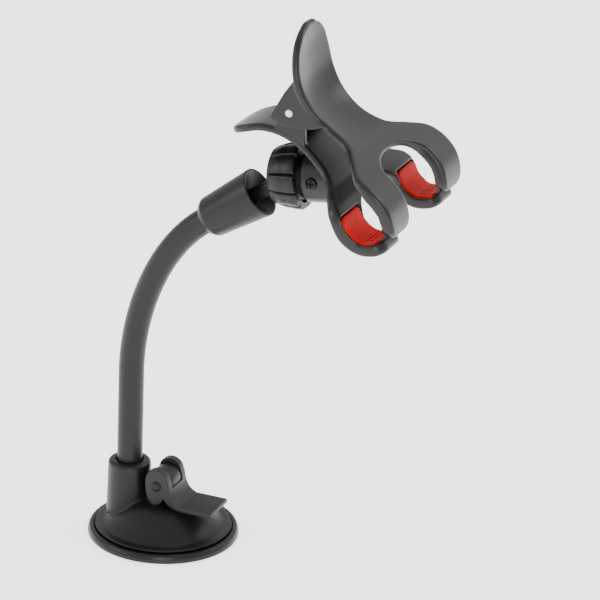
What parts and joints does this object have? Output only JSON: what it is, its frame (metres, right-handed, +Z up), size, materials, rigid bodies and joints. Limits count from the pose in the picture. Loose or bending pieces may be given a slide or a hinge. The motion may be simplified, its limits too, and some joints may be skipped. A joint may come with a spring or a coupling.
{
  "type": "car phone mount",
  "caption": "Windscreen phone mount: lever suction base, bending gooseneck, ball joint with clamp nut, and a forked spring clip with padded fingers.",
  "frame": {"origin": "middle of the suction cup's underside", "axes": "+Z up from the surface it sticks to, +X towards the side that the neck bends over to, +Y along the jaw pivot"},
  "size_m": [0.1442, 0.0834, 0.2374],
  "materials": {
    "cup_rubber": "satin black rubber, soft highlights",
    "shell_plastic": "satin black moulded plastic",
    "lever_plastic": "satin black plastic, stippled tab",
    "nut_plastic": "satin black plastic",
    "dark_plastic": "dull black plastic",
    "jaw_plastic": "satin charcoal plastic, worn shine on the rims",
    "sheath_rubber": "smooth satin black sheath",
    "pad_rubber": "soft red rubber",
    "steel": "bright steel",
    "black_screw": "black oxide screw"
  },
  "bodies": {
    "base": {"suction_rim": "cup_rubber", "suction_membrane": "cup_rubber", "base_shell": "shell_plastic", "neck_set_screw": "steel", "foot_ferrule": "steel", "neck_sheath_0": "sheath_rubber", "neck_core_0": "steel"},
    "plunger": {"plunger": "dark_plastic"},
    "lever": {"release_lever": "lever_plastic", "lever_pin": "steel"},
    "neck_1": {"neck_sheath_1": "sheath_rubber", "neck_core_1": "steel"},
    "neck_2": {"neck_sheath_2": "sheath_rubber", "neck_core_2": "steel"},
    "neck_3": {"neck_sheath_3": "sheath_rubber", "neck_core_3": "steel"},
    "neck_4": {"neck_sheath_4": "sheath_rubber", "neck_core_4": "steel"},
    "neck_5": {"neck_sheath_5": "sheath_rubber", "neck_core_5": "steel"},
    "neck_6": {"neck_sheath_6": "sheath_rubber", "neck_core_6": "steel"},
    "neck_7": {"neck_sheath_7": "sheath_rubber", "neck_core_7": "steel"},
    "neck_8": {"neck_sheath_8": "sheath_rubber", "neck_core_8": "steel"},
    "head": {"neck_sheath_9": "sheath_rubber", "neck_core_9": "steel", "head_sleeve": "shell_plastic", "head_ferrule": "steel"},
    "ball": {"ball_stud": "dark_plastic"},
    "nut": {"clamp_nut": "nut_plastic", "ball_seat": "dark_plastic"},
    "clip": {"ball_collet": "dark_plastic", "barrel_screw": "black_screw", "back_jaw": "jaw_plastic", "back_pad_left": "pad_rubber", "back_pad_right": "pad_rubber", "pivot_pin": "steel", "jaw_spring": "steel"},
    "front_jaw": {"front_jaw": "jaw_plastic", "front_pad_left": "pad_rubber", "front_pad_right": "pad_rubber"}
  },
  "joints": [
    {"name": "lever_turn", "type": "hinge", "parent": "plunger", "child": "lever", "pos_m": [0, 0, 0.0247], "axis": [0, -1, 0], "range_deg": [0, 86]},
    {"name": "plunger_drop", "type": "slide", "parent": "base", "child": "plunger", "axis": [0, 0, -1], "range_m": [0, 0.003], "deforming": ["suction_membrane"]},
    {"name": "neck_bend_1", "type": "hinge", "parent": "base", "child": "neck_1", "pos_m": [-0.0166, 0, 0.038], "axis": [0, 1, 0], "range_deg": [-12, 12]},
    {"name": "neck_sway_1", "type": "hinge", "parent": "neck_1", "child": "neck_2", "pos_m": [-0.0166, 0, 0.05188], "axis": [1, 0, 0], "range_deg": [-12, 12]},
    {"name": "neck_bend_2", "type": "hinge", "parent": "neck_2", "child": "neck_3", "pos_m": [-0.0166, 0, 0.06587], "axis": [0, 1, 0], "range_deg": [-12, 12]},
    {"name": "neck_sway_2", "type": "hinge", "parent": "neck_3", "child": "neck_4", "pos_m": [-0.0163, 0, 0.07971], "axis": [0.997, 0, -0.077], "range_deg": [-12, 12]},
    {"name": "neck_bend_3", "type": "hinge", "parent": "neck_4", "child": "neck_5", "pos_m": [-0.01435, 0, 0.09347], "axis": [0, 1, 0], "range_deg": [-12, 12]},
    {"name": "neck_sway_3", "type": "hinge", "parent": "neck_5", "child": "neck_6", "pos_m": [-0.01073, 0, 0.10689], "axis": [0.9472, 0, -0.3208], "range_deg": [-12, 12]},
    {"name": "neck_bend_4", "type": "hinge", "parent": "neck_6", "child": "neck_7", "pos_m": [-0.00539, 0, 0.11973], "axis": [0, 1, 0], "range_deg": [-12, 12]},
    {"name": "neck_sway_4", "type": "hinge", "parent": "neck_7", "child": "neck_8", "pos_m": [0.00182, 0, 0.13162], "axis": [0.8068, 0, -0.5908], "range_deg": [-12, 12]},
    {"name": "neck_bend_5", "type": "hinge", "parent": "neck_8", "child": "head", "pos_m": [0.01111, 0, 0.14193], "axis": [0, 1, 0], "range_deg": [-12, 12]},
    {"name": "ball_pan", "type": "hinge", "parent": "head", "child": "ball", "pos_m": [0.0532, 0, 0.1715], "axis": [0.8231, 0, 0.5678], "range_deg": [-90, 90]},
    {"name": "ball_tilt", "type": "hinge", "parent": "ball", "child": "nut", "pos_m": [0.0532, 0, 0.1715], "axis": [0, -1, 0], "range_deg": [-2, 35]},
    {"name": "clip_turn", "type": "hinge", "parent": "nut", "child": "clip", "pos_m": [0.0532, 0, 0.1715], "axis": [0.9917, 0, 0.1288], "range_deg": [-45, 45]},
    {"name": "jaw_open", "type": "hinge", "parent": "clip", "child": "front_jaw", "pos_m": [0.0574, 0, 0.2032], "axis": [0, -1, 0], "range_deg": [0, 55], "stiffness_Nm_per_rad": 0.25, "springref_deg": -34.38, "deforming": ["jaw_spring"]}
  ],
  "couplings": [
    {"joint": "lever_turn", "follows": "plunger_drop", "rad_per_m": 500},
    {"joint": "neck_bend_2", "follows": "neck_bend_1", "ratio": 1},
    {"joint": "neck_sway_2", "follows": "neck_sway_1", "ratio": 1},
    {"joint": "neck_bend_3", "follows": "neck_bend_1", "ratio": 1},
    {"joint": "neck_sway_3", "follows": "neck_sway_1", "ratio": 1},
    {"joint": "neck_bend_4", "follows": "neck_bend_1", "ratio": 1},
    {"joint": "neck_sway_4", "follows": "neck_sway_1", "ratio": 1},
    {"joint": "neck_bend_5", "follows": "neck_bend_1", "ratio": 1}
  ]
}
